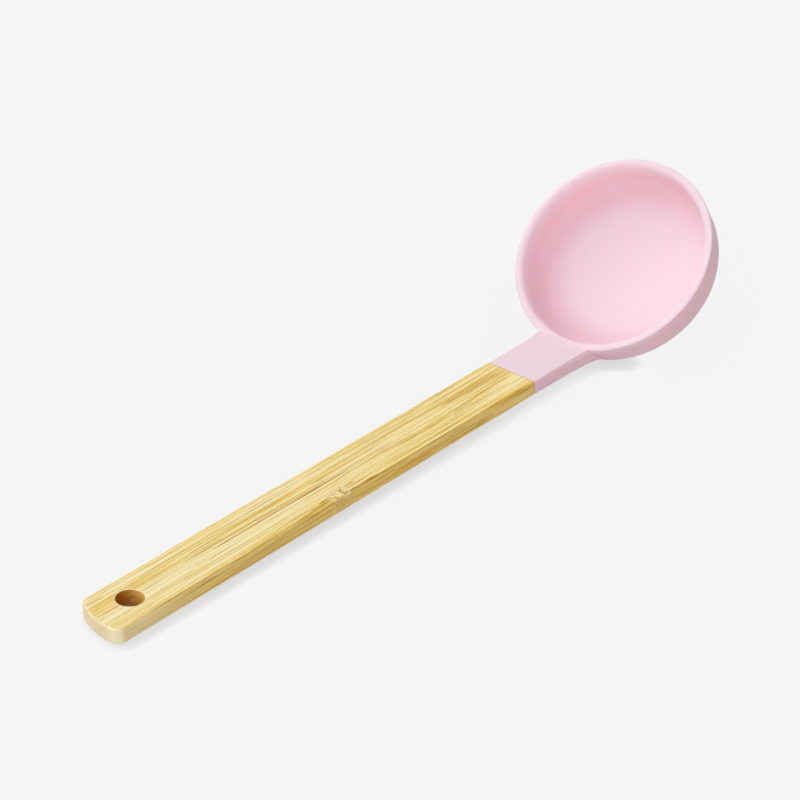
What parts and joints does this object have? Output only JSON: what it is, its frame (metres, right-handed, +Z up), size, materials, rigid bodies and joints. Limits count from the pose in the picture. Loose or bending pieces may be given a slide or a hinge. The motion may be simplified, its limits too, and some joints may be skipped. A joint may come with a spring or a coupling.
{
  "type": "soup ladle",
  "caption": "Soup ladle with a round tilted silicone bowl over a stiff core, on a flat laminated bamboo handle with a hanging hole and an arc-shaped tail.",
  "frame": {"origin": "middle of the bounding box on the table that the ladle lies on, touched by the tail's lower edge and the bowl's belly", "axes": "+X along the handle from the tail to the bowl, +Y to the left, +Z up from the table"},
  "size_m": [0.3378, 0.0868, 0.0696],
  "materials": {
    "pink_silicone": "matte moulded silicone",
    "core_nylon": "as moulded",
    "bamboo_left_outer": "sanded and oiled",
    "bamboo_left_inner": "sanded and oiled",
    "bamboo_right_inner": "sanded and oiled",
    "bamboo_right_outer": "sanded and oiled"
  },
  "bodies": {
    "root": {"silicone_head": "pink_silicone", "head_core": "core_nylon", "left_outer_strip": "bamboo_left_outer", "left_inner_strip": "bamboo_left_inner", "right_inner_strip": "bamboo_right_inner", "right_outer_strip": "bamboo_right_outer"}
  },
  "joints": []
}
